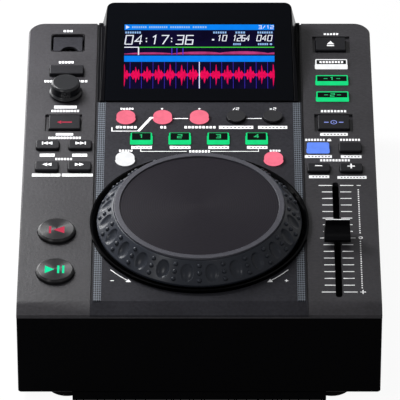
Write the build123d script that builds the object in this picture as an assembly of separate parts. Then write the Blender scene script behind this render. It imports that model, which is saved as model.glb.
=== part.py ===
"""Tabletop media player for disc jockeys: one STEP file per sub-part, in millimetres.

World frame: X to the right, Y to the rear, +Z up, origin under the middle of the machine on the table.
Panel frame: x as X, s along the sloping control panel from its front edge to the rear, n out of it.
"""

import math
import os

from build123d import *

# ---------------------------------------------------------------- driving dimensions
SLOPE = 4.0                 # control panel, degrees above level
WIDTH = 217.0               # over the side walls
PANEL_LENGTH = 279.4        # along the slope
BEVEL_RUN = 9.5             # front bevel, in plan
BEVEL_DROP = 3.9
PANEL_FRONT_Z = 67.5        # height of the panel's front edge above the table
FOOT_HEIGHT = 6.5
JACK_REACH = 8.2            # phono sockets, out of the rear face

LID_PLATE = 3.0             # thickness of the lid's top
LID_DEPTH = 5.6             # lid's rim, below the panel surface
DECK_PLATE = 1.4            # centre deck, let into the lid
LID_EDGE = 0.9              # chamfer round the lid's top
WALL = 2.5                  # case and lid walls
REAR_CORNER = 10.5          # plan radius of the rear corners
FRONT_CORNER = 1.6
SEAM_OUTER = 64.9           # groove between side decks and centre deck
SEAM_INNER = 63.9
THROUGH = 8.0               # cutters for holes reach this far over and under the panel

JOG_S = 72.8                # jog wheel's centre, along the panel
COLLAR_RADIUS = 66.3
COLLAR_HEIGHT = 2.4
WELL_RADIUS = 62.6
WHEEL_RADIUS = 62.0
RIM_OUTER = 51.5
RIM_INNER = 48.1
SPINDLE_RADIUS = 4.0
GRIP_COUNT = 24             # finger dimples, and as many rows of grip bumps between them

DISPLAY_S = 195.5           # front edge of the display window
DISPLAY_LIFT = 1.0          # that edge, above the panel
DISPLAY_TILT = 11.0         # window, degrees above the panel
WINDOW_LENGTH = 83.3
WINDOW_WIDTH = 118.6        # in front; it narrows towards the top
WINDOW_TOP_WIDTH = 115.8
WINDOW_CORNER = 4.0         # its two upper corners
HOOD_BASE_WIDTH = 125.0
HOOD_TOP_WIDTH = 117.4
HOOD_HEIGHT = 17.0          # above the panel, where the top width is measured
HOOD_CORNER = 4.6           # its two rear corners
HOOD_SKIN = 2.2
SCREEN_S = 40.0             # middle of the screen, up the window
SCREEN_WIDTH, SCREEN_LENGTH = 104.0, 66.0

BUTTON_GAP = 0.35           # round each cap in its hole
BUTTON_TRAVEL = 1.0
DOME_TRAVEL = 1.5
FLANGE_LIP = 0.9            # retaining flange, wider than its cap
FLANGE_PLATE = 0.8
BOARD_TOP = -10.5           # switch boards, n of their upper face
BOARD_PLATE = 1.6

FADER_X = 83.2
FADER_S = 58.5
FADER_THROW = 50.0          # each way
FADER_SLOT = (4.1, 2 * FADER_THROW + 10.8)

KNOB_X, KNOB_S = -83.6, 204.5
KNOB_HOLE = 7.4
DOOR_X, DOOR_S = -83.4, 257.9
DOOR_WIDTH, DOOR_DEPTH, DOOR_PLATE = 18.4, 15.7, 1.6
DOOR_GAP = 0.9              # all round the flap
DOOR_SINK = 0.6             # its top, below the panel
DOOR_CORNER = 1.2
DOOR_HOLE_CORNER = 1.8
NOTCH_RADIUS = 5.6          # finger notch in the flap's front edge
NOTCH_SINK = 1.0            # its centre, in front of that edge

WELL_FLOOR = -9.5           # n of the memory stick well's floor
HOST_PORT_S = -4.0          # its socket, behind the flap's middle
PIN_RADIUS = 0.9            # flap's hinge pins

# ---------------------------------------------------------------- places worked out from them
SIN, COS = math.sin(math.radians(SLOPE)), math.cos(math.radians(SLOPE))
BODY_DEPTH = BEVEL_RUN + PANEL_LENGTH * COS
FRONT_Y = -(BODY_DEPTH + JACK_REACH) / 2
PANEL_Y = FRONT_Y + BEVEL_RUN
REAR_Y = FRONT_Y + BODY_DEPTH
BEVEL_Z = PANEL_FRONT_Z - BEVEL_DROP
PANEL = Plane(origin=(0, PANEL_Y, PANEL_FRONT_Z), x_dir=(1, 0, 0), z_dir=(0, -SIN, COS))
DOOR_HOLE_WIDTH = DOOR_WIDTH + 2 * DOOR_GAP
DOOR_HOLE_DEPTH = DOOR_DEPTH + 2 * DOOR_GAP
HINGE_S = DOOR_DEPTH / 2 - DOOR_PLATE   # flap's hinge, behind its middle
HINGE_N = -DOOR_SINK - DOOR_PLATE
PIN_LENGTH = DOOR_HOLE_WIDTH + 2.6

# name: (x, s, width, depth, height above the panel, radius of its corners)
SIDE_BUTTONS = {
    "back_button": (-83.5, 226.8, 21.2, 9.2, 2.4, 0.6),
    "reverse_button": (-83.7, 173.4, 19.4, 14.2, 1.5, 0.6),
    "track_back_button": (-93.6, 150.1, 14.2, 8.8, 2.0, 1.6),
    "track_forward_button": (-73.6, 150.1, 14.2, 8.8, 2.0, 1.6),
    "search_back_button": (-93.6, 128.5, 14.2, 9.0, 2.1, 1.6),
    "search_forward_button": (-73.6, 128.5, 14.2, 9.0, 2.1, 1.6),
    "eject_button": (83.2, 255.2, 19.0, 13.6, 1.5, 0.6),
    "settings_button": (83.3, 234.4, 20.1, 8.5, 1.7, 0.6),
    "source_1_button": (83.3, 217.5, 20.1, 8.5, 1.7, 0.6),
    "source_2_button": (83.3, 200.5, 20.1, 8.5, 1.7, 0.6),
    "jog_mode_button": (83.5, 173.4, 19.5, 14.2, 1.5, 0.6),
    "key_lock_button": (73.3, 147.6, 13.7, 8.8, 2.0, 1.2),
    "tap_button": (93.2, 147.6, 13.7, 8.8, 2.0, 1.2),
    "bend_minus_button": (73.3, 127.0, 13.7, 8.0, 2.0, 1.2),
    "bend_plus_button": (93.2, 127.0, 13.7, 8.0, 2.0, 1.2),
}
DOME_BUTTONS = {"cue_button": (-86.1, 65.0), "play_button": (-86.1, 26.4)}
DOME_RADIUS = 11.4
DOME_BEVEL = 1.2
DOME_HEIGHT = 2.8
CENTRE_BUTTONS = {
    f"hot_cue_{i + 1}_button": (23.8 * (i - 1.5) - 0.2, 157.4, 13.3, 10.2, 1.5, 0.6) for i in range(4)
}
ROUND_RADIUS = 5.8
ROUND_HEIGHT = 2.1
ROUND_ROW = 22.85
ROUND_BUTTONS = {
    "loop_auto_button": (-2 * ROUND_ROW, 178.8),
    "loop_in_button": (-ROUND_ROW, 178.8),
    "loop_out_button": (0, 178.8),
    "loop_half_button": (ROUND_ROW, 178.8),
    "loop_double_button": (2 * ROUND_ROW, 178.8),
    "shift_button": (-2 * ROUND_ROW, 136.4),
    "slip_button": (2 * ROUND_ROW, 136.4),
}
# what the centre deck's bed opens on, over the boards and under the display: (x, s, width, depth)
BED_OPENINGS = [
    (0, 164.0, 112.0, 50.0), (0, 236.0, 115.0, 72.0),
    (-2 * ROUND_ROW, 134.5, 16.0, 14.0), (2 * ROUND_ROW, 134.5, 16.0, 14.0),
]
# shallow recesses round three of the side buttons: (x, s, width, depth)
RECESSES = [(-84.4, 174.1, 22.9, 17.3), (83.6, 256.0, 23.6, 17.3), (83.5, 174.1, 23.9, 17.7)]
RECESS_DEPTH = 1.5

STRIP_X = 60.8              # pale strips down both sides of the centre deck
STRIP_WIDTH = 4.6
STRIP_LENGTH = 195.0

FOOT_RADIUS = 12.3
FOOT_X = 79.5
FOOT_ROWS = (FRONT_Y + 17.5, REAR_Y - 24.0)
POST_X = 100.0
POST_ROWS = (FRONT_Y + 12.0, REAR_Y - 14.0)
POST_SPLIT_Z = 40.0         # where the case's posts meet the lid's bosses
POST_SIDE = 8.0
SCREW_WELL_RADIUS = 3.4
SCREW_SEAT = FOOT_HEIGHT + 3.0
BELLY_BOTTOM = 0.8          # deeper part of the case between the feet
BELLY_WIDTH = 152.0
MAIN_BOARD_Z = 16.0
REAR_PORT_Z = 38.0
PORT_WINDOW = (184.0, 22.0)  # opening in the case's rear wall
PORT_REBATE = (190.0, 28.0)  # its rebate for the connector plate
PHONO_X = (-58.0, -40.0, -14.0)
PHONO_RADIUS = 4.15
USB_B_X, ROCKER_X, INLET_X = 18.0, 56.0, 82.0
USB_B_SIDES = (12.0, 11.0)
INLET_SIDES = (9.4, 10.6)
ROCKER_FRAME = (21.0, 15.0)

BOTTOM = (Align.CENTER, Align.CENTER, Align.MIN)


# ---------------------------------------------------------------- helpers
def at(s, n):
    """World (Y, Z) of a point in the panel frame."""
    return PANEL_Y + s * COS - n * SIN, PANEL_FRONT_Z + s * SIN + n * COS


def on_panel(shape, x=0.0, s=0.0, n=0.0):
    """A shape drawn about its own origin, set on the panel at x, s, n."""
    return PANEL.location * Pos(x, s, n) * shape


def across(points, width):
    """Prism across the machine from a closed (Y, Z) outline."""
    outline = make_face(Polyline(*[(0, y, z) for y, z in points], close=True))
    return extrude(outline, amount=width / 2, dir=(1, 0, 0), both=True)


def turned(*points):
    """Solid of revolution about the local Z axis from a closed (radius, height) outline."""
    outline = make_face(Polyline(*[(r, 0, z) for r, z in points], close=True))
    return revolve(outline, Axis.Z)


def prism(outline, low, high):
    """A flat outline extruded from one height to another."""
    return Pos(0, 0, low) * extrude(outline, amount=high - low)


def cylinder(radius, low, high):
    return Pos(0, 0, low) * Cylinder(radius, high - low, align=BOTTOM)


def block(width, depth, low, high):
    return Pos(0, 0, low) * Box(width, depth, high - low, align=BOTTOM)


def round_hole(radius):
    """Cutter straight through the panel."""
    return cylinder(radius, -THROUGH, THROUGH)


def square_hole(width, depth, gap=0.0, corner=0.0):
    width, depth = width + 2 * gap, depth + 2 * gap
    outline = RectangleRounded(width, depth, corner + gap) if corner else Rectangle(width, depth)
    return prism(outline, -THROUGH, THROUGH)


def save(node, *shapes):
    """Writes one node: a single solid, or a group of separate solids."""
    shape = shapes[0] if len(shapes) == 1 else Compound(children=[s.solid() for s in shapes])
    export_step(shape, f"parts/{node}.step")


# ---------------------------------------------------------------- case, lid and decks
def lid_outline(inset, depth):
    """Side outline of the lid, drawn in from its outer skin by inset and taken down to n = -depth."""
    front, rear = FRONT_Y + inset, REAR_Y - inset
    low_front = PANEL_FRONT_Z - BEVEL_RUN * SIN / COS - depth / COS
    low_rear = low_front + BODY_DEPTH * SIN / COS
    corner = at(0, 0)
    return [
        (front, low_front + inset * SIN / COS),
        (front, BEVEL_Z + inset * BEVEL_DROP / BEVEL_RUN),
        corner,
        at(PANEL_LENGTH, 0) if inset == 0 else (rear, corner[1] + (rear - corner[0]) * SIN / COS),
        (rear, low_rear - inset * SIN / COS),
    ]


def rounded_rear(shape):
    edges = shape.edges().filter_by(Axis.Z).filter_by(lambda e: e.center().Y > REAR_Y - 0.1)
    return fillet(edges, REAR_CORNER)


def lid_void():
    """Space under the lid's top plate, between its walls."""
    front, rear = FRONT_Y + WALL, REAR_Y - WALL
    slope = SIN / COS
    drop = LID_PLATE / COS
    corner = at(0, 0)
    low = PANEL_FRONT_Z - LID_DEPTH - 20
    outline = [
        (front, low),
        (front, BEVEL_Z + WALL * BEVEL_DROP / BEVEL_RUN - drop),
        (corner[0], corner[1] - drop),
        (rear, corner[1] - drop + (rear - corner[0]) * slope),
        (rear, low),
    ]
    return across(outline, WIDTH - 2 * WALL)


def make_top_housing():
    lid = rounded_rear(across(lid_outline(0, LID_DEPTH), WIDTH))
    face = lid.faces().filter_by(lambda f: f.normal_at().dot(PANEL.z_dir) > 0.999)[0]
    lid = chamfer(face.edges().filter_by(lambda e: e.center().Y > PANEL_Y + 1), LID_EDGE)
    lid -= lid_void()
    # the centre deck's bed, down the bevel as well
    bed = across(lid_outline(0, LID_DEPTH + 30), 2 * SEAM_OUTER)
    lid -= bed - Pos(0, 0, -DECK_PLATE / COS) * bed
    lid -= on_panel(round_hole(WELL_RADIUS + 0.6), s=JOG_S)
    for x, s, width, depth in BED_OPENINGS:
        lid -= on_panel(square_hole(width, depth), x, s)
    for x, s, width, depth in RECESSES:
        lid -= on_panel(block(width, depth, -RECESS_DEPTH, THROUGH), x, s)
    for x, s, width, depth, _, corner in SIDE_BUTTONS.values():
        lid -= on_panel(square_hole(width, depth, BUTTON_GAP, corner), x, s)
    for x, s in DOME_BUTTONS.values():
        lid -= on_panel(round_hole(DOME_RADIUS + BUTTON_GAP), x, s)
    slot = SlotOverall(FADER_SLOT[1], FADER_SLOT[0], rotation=90)
    lid -= on_panel(prism(slot, -THROUGH, THROUGH), FADER_X, FADER_S)
    lid -= on_panel(square_hole(KNOB_HOLE, KNOB_HOLE), KNOB_X, KNOB_S)
    # the flap's opening, with pockets in the underside for its hinge pins
    hole = square_hole(DOOR_HOLE_WIDTH, DOOR_HOLE_DEPTH, corner=DOOR_HOLE_CORNER)
    lid -= on_panel(hole, DOOR_X, DOOR_S)
    lid -= on_panel(Pos(0, HINGE_S, 0) * hinge_pocket(-THROUGH, HINGE_N), DOOR_X, DOOR_S)
    return lid + make_lid_posts()


def hinge_pocket(low, high):
    """Cutter for the flap's hinge pins, out to just past their ends."""
    return block(PIN_LENGTH + 0.6, 2 * PIN_RADIUS + 0.1, low, high + PIN_RADIUS + 0.05)


def make_usb_well():
    """Tub under the flap that takes a memory stick's end."""
    wall = 1.6
    well = block(DOOR_HOLE_WIDTH + 2 * wall, DOOR_HOLE_DEPTH + 2 * wall, WELL_FLOOR - 1.5, -LID_PLATE)
    well -= block(DOOR_HOLE_WIDTH, DOOR_HOLE_DEPTH, WELL_FLOOR, 0)
    well -= Pos(0, HINGE_S, 0) * hinge_pocket(HINGE_N - PIN_RADIUS - 0.15, 0)
    return on_panel(well - Pos(0, HOST_PORT_S, 0) * block(13.3, 5.9, WELL_FLOOR - 3, 0), DOOR_X, DOOR_S)


def make_lid_posts():
    """Screw bosses at the corners, and the studs that carry the switch boards."""
    slope = SIN / COS
    posts = []
    for y in POST_ROWS:
        top = PANEL_FRONT_Z + (y - PANEL_Y) * slope - LID_PLATE + 0.6
        for x in (-POST_X, POST_X):
            posts.append(Pos(x, y, 0) * block(POST_SIDE, POST_SIDE, POST_SPLIT_Z, top))
    for x, s in BOARD_STUDS:
        posts.append(on_panel(block(4, 4, BOARD_TOP, -LID_PLATE + 0.5), x, s))
    return posts


BOARD_STUDS = [
    (-102.0, 105.0), (-67.5, 105.0), (-102.0, 190.0), (-67.5, 236.0),
    (102.0, 108.0), (70.0, 185.0), (102.0, 240.0),
]


def make_bottom_case():
    slope = SIN / COS
    split_front = PANEL_FRONT_Z - BEVEL_RUN * slope - LID_DEPTH / COS
    split_rear = split_front + BODY_DEPTH * slope
    outline = [(FRONT_Y, FOOT_HEIGHT), (FRONT_Y, split_front), (REAR_Y, split_rear), (REAR_Y, FOOT_HEIGHT)]
    case = rounded_rear(across(outline, WIDTH))
    front_edges = case.edges().filter_by(Axis.Z).filter_by(lambda e: e.center().Y < FRONT_Y + 0.1)
    case = fillet(front_edges, FRONT_CORNER)
    case = chamfer(case.faces().sort_by(Axis.Z)[0].edges(), 1.1)
    depth = BODY_DEPTH - 2 * WALL
    middle = (FRONT_Y + REAR_Y) / 2
    case -= Pos(0, middle, 0) * block(WIDTH - 2 * WALL, depth, FOOT_HEIGHT + WALL, split_rear + 10)
    # deeper belly between the feet, with a round notch for each foot
    belly = Pos(0, middle - 4, 0) * block(BELLY_WIDTH, BODY_DEPTH - 8, BELLY_BOTTOM, FOOT_HEIGHT + 0.5)
    for x in (-FOOT_X, FOOT_X):
        for y in FOOT_ROWS:
            belly -= Pos(x, y, 0) * cylinder(FOOT_RADIUS + 1.2, -1, FOOT_HEIGHT)
    case += belly
    case -= Pos(0, middle, 0) * block(BELLY_WIDTH - 28, depth - 16, BELLY_BOTTOM + 2.4, 20)
    # posts for the screws, bosses under the main board
    for x in (-POST_X, POST_X):
        for y in POST_ROWS:
            case += Pos(x, y, 0) * block(POST_SIDE, POST_SIDE, FOOT_HEIGHT + 1, POST_SPLIT_Z)
            case -= Pos(x, y, 0) * prism(RegularPolygon(SCREW_WELL_RADIUS, 12), 0, SCREW_SEAT)
    for x in (-75, 75):
        for y in (-90, 90):
            case += Pos(x, y, 0) * block(6, 6, FOOT_HEIGHT + 1, MAIN_BOARD_Z)
    # rear window with a rebate for the connector plate
    case -= rearward(block(*PORT_REBATE, -1.0, 1), 0)
    return case - rearward(block(*PORT_WINDOW, -5.0, 1), 0)


def deck_sheet(width):
    """Sheet of the deck's thickness that follows the lid's outer skin, bevel and all."""
    body = across(lid_outline(0, LID_DEPTH), width)
    return body - Pos(0, 0, -DECK_PLATE / COS) * body


def make_centre_deck():
    length = DISPLAY_S - 0.3
    deck = deck_sheet(2 * SEAM_INNER) & on_panel(block(200, length, -40, 40), s=length / 2)
    front = Pos(0, FRONT_Y + BEVEL_RUN / 2, 0) * block(200, BEVEL_RUN + 1.0, 0, 100)
    deck += deck_sheet(2 * SEAM_OUTER - 0.3) & front
    deck -= on_panel(round_hole(WELL_RADIUS), s=JOG_S)
    for x, s, width, depth, _, corner in CENTRE_BUTTONS.values():
        deck -= on_panel(square_hole(width, depth, BUTTON_GAP, corner), x, s)
    for x, s in ROUND_BUTTONS.values():
        deck -= on_panel(round_hole(ROUND_RADIUS + BUTTON_GAP), x, s)
    return deck - make_strip_space()


def make_strip_space():
    """Shallow grooves for the two pale strips, cut short by the wheel's collar."""
    groove = Pos(0, STRIP_LENGTH / 2 - 0.5, -0.5) * Box(STRIP_WIDTH, STRIP_LENGTH, 1.5, align=BOTTOM)
    space = on_panel(groove, -STRIP_X) + on_panel(groove, STRIP_X)
    return space - on_panel(cylinder(COLLAR_RADIUS + 0.3, -5, 5), s=JOG_S)


def make_accent_strips():
    slab = on_panel(block(140, 2 * STRIP_LENGTH, -0.5, 0.2))
    return (make_strip_space() & slab).solids()


# ---------------------------------------------------------------- display
WINDOW_Y, WINDOW_Z = at(DISPLAY_S, DISPLAY_LIFT)
WINDOW_ANGLE = math.radians(SLOPE + DISPLAY_TILT)
WINDOW_NORMAL = (0, -math.sin(WINDOW_ANGLE), math.cos(WINDOW_ANGLE))
WINDOW = Plane(origin=(0, WINDOW_Y, WINDOW_Z), x_dir=(1, 0, 0), z_dir=WINDOW_NORMAL)
GLASS_PLATE = 1.5


def in_window(u, w):
    """World (Y, Z) of a point u up the window and w out of it."""
    c, s = math.cos(WINDOW_ANGLE), math.sin(WINDOW_ANGLE)
    return WINDOW_Y + u * c - w * s, WINDOW_Z + u * s + w * c


def window_outline(gap):
    """Window's outline: square corners in front, rounded ones at the narrower top."""
    base = WINDOW_WIDTH / 2 + gap
    crest = WINDOW_TOP_WIDTH / 2 + gap
    top = WINDOW_LENGTH + gap
    plate = make_face(Polyline((-base, -gap), (base, -gap), (crest, top), (-crest, top), close=True))
    return fillet(plate.vertices().sort_by(Axis.Y)[-2:], WINDOW_CORNER + gap)


def make_display_housing():
    front = DISPLAY_S - 0.3
    rear = at(PANEL_LENGTH, 0)[1]
    crest = in_window(WINDOW_LENGTH + 0.8, 0)
    hood = across([at(front, -DECK_PLATE), at(DISPLAY_S, DISPLAY_LIFT), crest, (REAR_Y, rear - DECK_PLATE)],
                  HOOD_BASE_WIDTH)
    # side faces lean inwards
    lean = math.degrees(math.atan((HOOD_BASE_WIDTH - HOOD_TOP_WIDTH) / 2 / HOOD_HEIGHT))
    for side in (-1, 1):
        cutter = Rotation(0, -side * lean, 0) * Pos(side * 20, 0, 0) * Box(40, 800, 80, align=BOTTOM)
        hood -= on_panel(cutter, side * HOOD_BASE_WIDTH / 2, 0, -DECK_PLATE)
    corners = hood.edges().filter_by(lambda e: e.center().Y > REAR_Y - 2 and abs(e.center().X) > 50)
    hood = fillet(corners.filter_by(lambda e: e.length > HOOD_HEIGHT), HOOD_CORNER)
    hood += deck_sheet(2 * SEAM_INNER) & on_panel(block(300, 200, -40, 40), s=front + 100)
    # hollow inside, with a rebate for the glass and a window for the screen
    under = -GLASS_PLATE - HOOD_SKIN
    hollow = across([at(front + 9.0, -5), in_window(9.5, under), in_window(WINDOW_LENGTH - 3.5, under),
                     (REAR_Y - 2.6, rear - 5)], HOOD_TOP_WIDTH - 5.0)
    hood -= hollow
    hood -= WINDOW.location * prism(window_outline(0.15), -GLASS_PLATE, 5)
    return hood - WINDOW.location * Pos(0, SCREEN_S, 0) * block(SCREEN_WIDTH, SCREEN_LENGTH, -12, 5)


def make_display_glass():
    glass = prism(window_outline(0), -GLASS_PLATE, 0)
    return WINDOW.location * chamfer(glass.faces().sort_by(Axis.Z)[-1].edges(), 0.3)


def make_display_module():
    gap = 0.4
    screen = Pos(0, SCREEN_S, 0) * block(SCREEN_WIDTH - gap, SCREEN_LENGTH - gap, -5.5, -GLASS_PLATE)
    frame = Pos(0, SCREEN_S + 3.2, 0) * block(110, SCREEN_LENGTH - 0.2, -6.5, -GLASS_PLATE - HOOD_SKIN)
    return WINDOW.location * (screen + frame)


# ---------------------------------------------------------------- jog wheel
GRIP_LOW = 2.4              # the grip cone's lower and upper edge, n
GRIP_HIGH = 13.6
GRIP_TOP_RADIUS = 52.2
BUMP_STEPS = (0.2, 0.5, 0.8)  # rows of bumps, up the cone
CONE_RUN = WHEEL_RADIUS - GRIP_TOP_RADIUS
CONE_RISE = GRIP_HIGH - GRIP_LOW
CONE_LEAN = math.degrees(math.atan2(CONE_RUN, CONE_RISE))
TOP_SEAT = 12.4             # seat of the rim and the touch plate
BEARING_SIDE = 11.0


def flats(radius):
    """Outline of the grip: one flat for each dimple and one for each row of bumps, by its inner radius."""
    count = 2 * GRIP_COUNT
    return RegularPolygon(radius, count, major_radius=False, rotation=180 / count)


def oval(half_length, half_width, corners=10):
    turns = [2 * math.pi * i / corners for i in range(corners)]
    points = [(half_length * math.cos(a), half_width * math.sin(a)) for a in turns]
    return make_face(Polyline(*points, close=True))


def on_cone(shape, step, turn):
    """Sets a shape on the grip cone: its Z becomes the outward normal and its X runs up the cone."""
    place = Pos(WHEEL_RADIUS - step * CONE_RUN, 0, GRIP_LOW + step * CONE_RISE)
    return Rotation(0, 0, turn) * place * Rotation(0, 90 - CONE_LEAN, 0) * Rotation(0, 0, 180) * shape


def make_jog_ring():
    """Grip ring: finger dimples round the cone, a row of three bumps between each two of them."""
    ring = prism(flats(WHEEL_RADIUS), 0.8, GRIP_LOW)
    ring += Pos(0, 0, GRIP_LOW) * extrude(flats(WHEEL_RADIUS), amount=CONE_RISE, taper=CONE_LEAN)
    ring -= prism(flats(53.0), 0, 10.4)
    ring += prism(RegularPolygon(8.0, 12), 3.0, 10.5)
    ring -= cylinder(RIM_OUTER, TOP_SEAT, 20)
    ring -= cylinder(SPINDLE_RADIUS, 0, 20)
    pitch = 360 / GRIP_COUNT
    dimple = Rotation(180, 0, 0) * Pos(0, 0, -0.2) * extrude(oval(5.8, 4.0), amount=1.6, taper=42)
    bump = Pos(0, 0, -0.1) * extrude(RegularPolygon(1.5, 6), amount=1.1, taper=32)
    dimples = [on_cone(dimple, 0.5, pitch * (i + 0.5)) for i in range(GRIP_COUNT)]
    bumps = [on_cone(bump, step, pitch * i) for i in range(GRIP_COUNT) for step in BUMP_STEPS]
    return on_panel(ring - dimples + bumps, s=JOG_S)


def make_jog_rim():
    outer = RIM_OUTER - 0.05
    top = TOP_SEAT + 2.6
    profile = turned((RIM_INNER, TOP_SEAT), (outer, TOP_SEAT), (outer, top), (RIM_INNER, top))
    return on_panel(profile, s=JOG_S)


def make_jog_touch_plate():
    return on_panel(cylinder(RIM_INNER - 0.15, TOP_SEAT, TOP_SEAT + 1.9), s=JOG_S)


def make_jog_spindle():
    shaft = cylinder(SPINDLE_RADIUS, -15.5, TOP_SEAT - 0.4)
    code_disc = prism(RegularPolygon(30.0, 24), -6.4, -5.6)
    return on_panel(shaft + code_disc, s=JOG_S)


def make_jog_collar():
    """Glossy ring that slopes inwards to the wheel."""
    crest = (COLLAR_RADIUS - 1.0, COLLAR_HEIGHT)
    outside = (COLLAR_RADIUS, COLLAR_HEIGHT)
    return on_panel(turned((WELL_RADIUS, 0), (COLLAR_RADIUS, 0), outside, crest), s=JOG_S)


def make_jog_base():
    """Shallow tub under the wheel, with a square socket for its bearing."""
    tub = prism(RegularPolygon(64.9, 24), -11.0, -LID_PLATE) - prism(RegularPolygon(63.4, 24), -9.6, 0)
    tub += block(BEARING_SIDE + 5, BEARING_SIDE + 5, -16.5, -10.5)
    return on_panel(tub - block(BEARING_SIDE, BEARING_SIDE, -17, -9), s=JOG_S)


def make_jog_bearing():
    bore = SPINDLE_RADIUS + 0.05
    return on_panel(block(BEARING_SIDE, BEARING_SIDE, -16.5, -7.0) - cylinder(bore, -17, -6), s=JOG_S)


# ---------------------------------------------------------------- buttons
def make_key(width, depth, height, corner, plate):
    """Oblong cap through a plate, with the retaining flange under it."""
    low = -plate - 0.15
    cap = prism(RectangleRounded(width, depth, corner), low - 0.1, height)
    cap = chamfer(cap.faces().sort_by(Axis.Z)[-1].edges(), 0.45)
    return cap + block(width + 2 * FLANGE_LIP, depth + 2 * FLANGE_LIP, low - FLANGE_PLATE, low)


def make_round_key(radius, height, plate):
    low = -plate - 0.15
    flange = 2 * (radius + FLANGE_LIP)
    return cylinder(radius, low - 0.1, height) + block(flange, flange, low - FLANGE_PLATE, low)


def make_dome_key():
    """Large round key with a bevelled edge round its face."""
    low = -LID_PLATE - 0.15
    flange = 2 * (DOME_RADIUS + 1.0)
    dome = turned((0, low - 0.1), (DOME_RADIUS, low - 0.1), (DOME_RADIUS, DOME_HEIGHT - DOME_BEVEL),
                  (DOME_RADIUS - DOME_BEVEL, DOME_HEIGHT), (0, DOME_HEIGHT))
    return dome + block(flange, flange, low - 1.0, low)


def make_tact_switch(travel, flange_low):
    """Small switch on the board, its plunger just under the key's flange."""
    top = flange_low - travel - 0.1
    return block(4.6, 4.6, BOARD_TOP, top)


# ---------------------------------------------------------------- controls
def make_fader_cap():
    """Waisted cap: the finger slopes rise from both ends to a narrow crest."""
    half, crest, low, lip, high = 6.4, 0.9, 2.7, 4.3, 15.0
    hollow, waist = 2.9, 7.2
    half_width = 8.0
    profile = make_face([
        Line((0, -half, low), (0, half, low)),
        Line((0, half, low), (0, half, lip)),
        ThreePointArc((0, half, lip), (0, hollow, waist), (0, crest, high)),
        Line((0, crest, high), (0, -crest, high)),
        ThreePointArc((0, -crest, high), (0, -hollow, waist), (0, -half, lip)),
        Line((0, -half, lip), (0, -half, low)),
    ])
    cap = extrude(profile, amount=half_width, dir=(1, 0, 0), both=True)
    for side in (-1, 1):
        cutter = Rotation(0, -side * 3.5, 0) * Pos(side * 5, 0, 0) * Box(10, 30, 30, align=BOTTOM)
        cap -= Pos(side * half_width, 0, low) * cutter
    return on_panel(cap - block(*STEM_SIDES, low - 1, STEM_TOP), FADER_X, FADER_S)


STEM_SIDES = (1.4, 5.0)
STEM_TOP = 8.0


def make_fader_stem():
    carriage_top = -8.9
    stem = block(*STEM_SIDES, carriage_top - 0.1, STEM_TOP)
    carriage = block(5.0, 9.0, carriage_top - 1.6, carriage_top)
    return on_panel(stem + carriage, FADER_X, FADER_S)


def make_fader_body():
    """Sliding potentiometer's case: a channel for the carriage under a slot for the stem."""
    body = Pos(0, 1.5, 0) * block(12.0, FADER_SLOT[1] + 9, -14.0, -LID_PLATE)
    body -= block(6.0, FADER_SLOT[1] + 3, -12.5, -5.0)
    body -= block(3.6, FADER_SLOT[1], -6.0, 0)
    return on_panel(body, FADER_X, FADER_S)


SHAFT_RADIUS = 3.0
SHAFT_TOP = 7.0
SHAFT_BOTTOM = -7.5


def make_browse_knob():
    """Knob on a wider skirt, its top edge bevelled."""
    skirt, skirt_top, radius, top, low = 10.4, 1.7, 9.1, 9.0, 0.7
    knob = turned((SHAFT_RADIUS, low), (skirt, low), (skirt, skirt_top), (radius, skirt_top + 1.1),
                  (radius, top - 1.2), (radius - 1.2, top), (0, top), (0, SHAFT_TOP),
                  (SHAFT_RADIUS, SHAFT_TOP))
    return on_panel(knob, KNOB_X, KNOB_S)


def make_encoder_shaft():
    return on_panel(cylinder(SHAFT_RADIUS, SHAFT_BOTTOM, SHAFT_TOP), KNOB_X, KNOB_S)


def make_encoder_plunger():
    return on_panel(block(3.6, 3.6, SHAFT_BOTTOM - 1, SHAFT_BOTTOM), KNOB_X, KNOB_S)


def make_encoder_body():
    neck = KNOB_HOLE - 0.4
    body = block(12.0, 13.0, BOARD_TOP, -4.0) + block(neck, neck, -4.5, -0.4)
    return on_panel(body - cylinder(SHAFT_RADIUS + 0.05, BOARD_TOP + 0.7, 1), KNOB_X, KNOB_S)


def make_usb_door():
    """Flap sunk a little into the panel, hinged in a round barrel along its rear edge."""
    side, front = DOOR_WIDTH / 2, -DOOR_DEPTH / 2
    outline = Polyline((-side, HINGE_S), (-side, front), (side, front), (side, HINGE_S), close=True)
    plate = make_face(outline)
    plate = fillet(plate.vertices().sort_by(Axis.Y)[:2], DOOR_CORNER)
    door = prism(plate, HINGE_N, -DOOR_SINK)
    door -= Pos(1.2, front - NOTCH_SINK, 0) * cylinder(NOTCH_RADIUS, -THROUGH, THROUGH)
    barrel = Rotation(0, 90, 0) * Cylinder(DOOR_PLATE, DOOR_WIDTH)
    pins = Rotation(0, 90, 0) * Cylinder(PIN_RADIUS, PIN_LENGTH)
    return on_panel(door + Pos(0, HINGE_S, HINGE_N) * (barrel + pins), DOOR_X, DOOR_S)


def make_usb_host_port():
    """Socket's steel shell round its tongue of contacts, let into the well's floor."""
    mouth, end = WELL_FLOOR - 0.1, WELL_FLOOR - 15.5
    shell = block(13.2, 5.8, end, mouth) - block(12.4, 5.0, end + 2, mouth + 1)
    tongue = Pos(0, 0.9, 0) * block(11.0, 1.8, end + 1.8, mouth - 1)
    return on_panel(shell + tongue, DOOR_X, DOOR_S + HOST_PORT_S)


# ---------------------------------------------------------------- rear, underside and inside
def rearward(shape, x, z=REAR_PORT_Z):
    """A shape drawn along +Z from the rear face, turned to point backwards."""
    return Pos(x, REAR_Y, z) * Rotation(-90, 0, 0) * shape


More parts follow.
